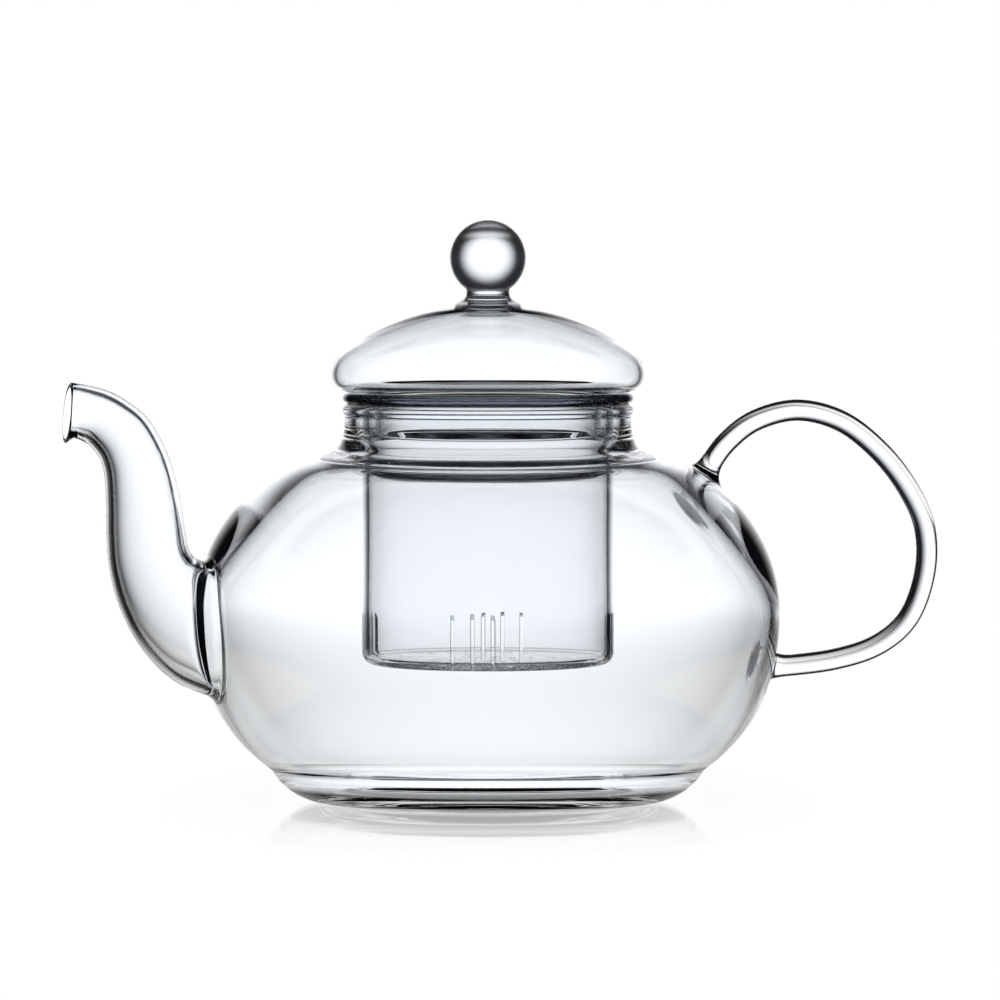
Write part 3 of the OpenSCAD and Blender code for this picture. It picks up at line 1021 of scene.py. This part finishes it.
def floor_material():
    """White to the eye, with a reflection that fades away from the pot."""
    material = bpy.data.materials.new("floor_white")
    material.use_nodes = True
    nodes = Nodes(material.node_tree)
    place = nodes.add("ShaderNodeTexCoord").outputs["Object"]
    squashed = nodes.set(nodes.add("ShaderNodeMapping"), Vector=place, Scale=(MIRROR_SQUASH, 1, 1))
    radius = nodes.length(squashed.outputs["Vector"])
    facing = nodes.add("ShaderNodeLayerWeight").outputs["Facing"]
    mirrored = nodes.math(
        "MULTIPLY", smooth_range(nodes, radius, *MIRROR_RADII, MIRROR_SHARE, 0.0),
        smooth_range(nodes, facing, *MIRROR_FACING, MIRROR_STEEP, 1.0)
    )
    seen = nodes.add("ShaderNodeLightPath").outputs["Is Camera Ray"]
    strength = nodes.math("MAXIMUM", seen, floor_for_glass(nodes))
    light = nodes.set(nodes.add("ShaderNodeEmission"), Strength=strength)
    gloss = nodes.set(nodes.add("ShaderNodeBsdfGlossy"), Roughness=MIRROR_ROUGHNESS)
    surface = nodes.mix(nodes.math("MULTIPLY", seen, mirrored), light, gloss)
    nodes.set(nodes.add("ShaderNodeOutputMaterial"), Surface=surface)
    return material


def make_floor(rig):
    """A wide disc that the pot stands on."""
    mesh = bpy.data.meshes.new("floor")
    turns = [2 * math.pi * k / FLOOR_SIDES for k in range(FLOOR_SIDES)]
    ring = [(FLOOR_RADIUS * math.cos(a), FLOOR_RADIUS * math.sin(a), 0) for a in turns]
    mesh.from_pydata(ring, [], [list(range(FLOOR_SIDES))])
    mesh.materials.append(floor_material())
    floor = bpy.data.objects.new("floor", mesh)
    floor.location.z = FLOOR_Z
    floor.parent = rig
    bpy.context.scene.collection.objects.link(floor)


def set_rendering():
    """How light is followed and shown; not the engine, samples or size."""
    scene = bpy.context.scene
    scene.view_settings.view_transform = "Standard"
    scene.cycles.max_bounces = 32
    scene.cycles.transmission_bounces = 32
    scene.cycles.glossy_bounces = 12
    scene.cycles.transparent_max_bounces = 16
    scene.cycles.use_denoising = True


# ---- Assembly ----

wall_glass = glass_material(
    "wall_glass", tint=(0.982, 0.992, 0.998), waves=0.00003, wave_size=0.025, stretch=(1, 1, 0.6)
)
weld_glass = glass_material(
    "weld_glass", tint=(0.965, 0.98, 0.99), waves=0.00004, wave_size=0.006, stretch=(1, 1, 1)
)
rod_glass = glass_material(
    "rod_glass", tint=(0.975, 0.985, 0.995), waves=0.00001, wave_size=0.01, stretch=(1, 1, 1)
)
tube_glass = glass_material(
    "tube_glass", tint=(0.982, 0.992, 0.998), waves=0.00001, wave_size=0.03, stretch=(1, 1, 0.3)
)
# The bottom's glass is matt in specks, which is roughness, and tinted grey, which is painted shade.
base_matt_painted_shade_glass = glass_material(
    "base_matt_painted_shade_glass", tint=(0.86, 0.89, 0.92), waves=0.00002, wave_size=0.004, stretch=(1, 1, 1),
    speckle=0.35
)
# Painted shade: the flange's seat is clear glass given a nearly black tint, for the dark band round
# the flange.
seat_painted_shade_glass = glass_material(
    "seat_painted_shade_glass", tint=(0.02, 0.025, 0.035), waves=0.00001, wave_size=0.01, stretch=(1, 1, 1)
)
# The slits' cut faces are matt in specks and hazy, which is roughness, and tinted dark grey, which is
# painted shade that darkens the slits' edges.
slit_matt_painted_shade_glass = glass_material(
    "slit_matt_painted_shade_glass", tint=(0.3, 0.33, 0.37), waves=0.00001, wave_size=0.004, stretch=(1, 1, 1),
    speckle=0.3, haze=0.15
)
lid_glass = glass_material(
    "lid_glass", tint=(0.985, 0.993, 0.998), waves=0.00001, wave_size=0.02, stretch=(1, 1, 0.3)
)
# Painted shade: the ball is tinted darker than the lid's glass to dim its highlight; its haze is
# roughness that softens the highlight.
knob_glass = glass_material(
    "knob_glass", tint=(0.9, 0.915, 0.935), waves=0.00001, wave_size=0.02, stretch=(1, 1, 1), haze=0.24
)

pot = make_pot([wall_glass, weld_glass, rod_glass])
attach(pot, "pot")
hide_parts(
    "pot_body", "spout", "spout_collar", "handle_rod", "handle_upper_weld", "handle_lower_weld"
)

infuser = make_infuser([tube_glass, base_matt_painted_shade_glass, seat_painted_shade_glass, slit_matt_painted_shade_glass])
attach(infuser, "infuser")
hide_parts("infuser_tube", "infuser_flange", "infuser_base")

lid = make_lid([lid_glass, knob_glass])
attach(lid, "lid")
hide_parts("lid_shell", "lid_skirt", "lid_stem", "lid_knob")

camera = make_camera()
rig = make_rig(camera)
make_back_card(rig)
make_world()
make_floor(rig)
set_rendering()
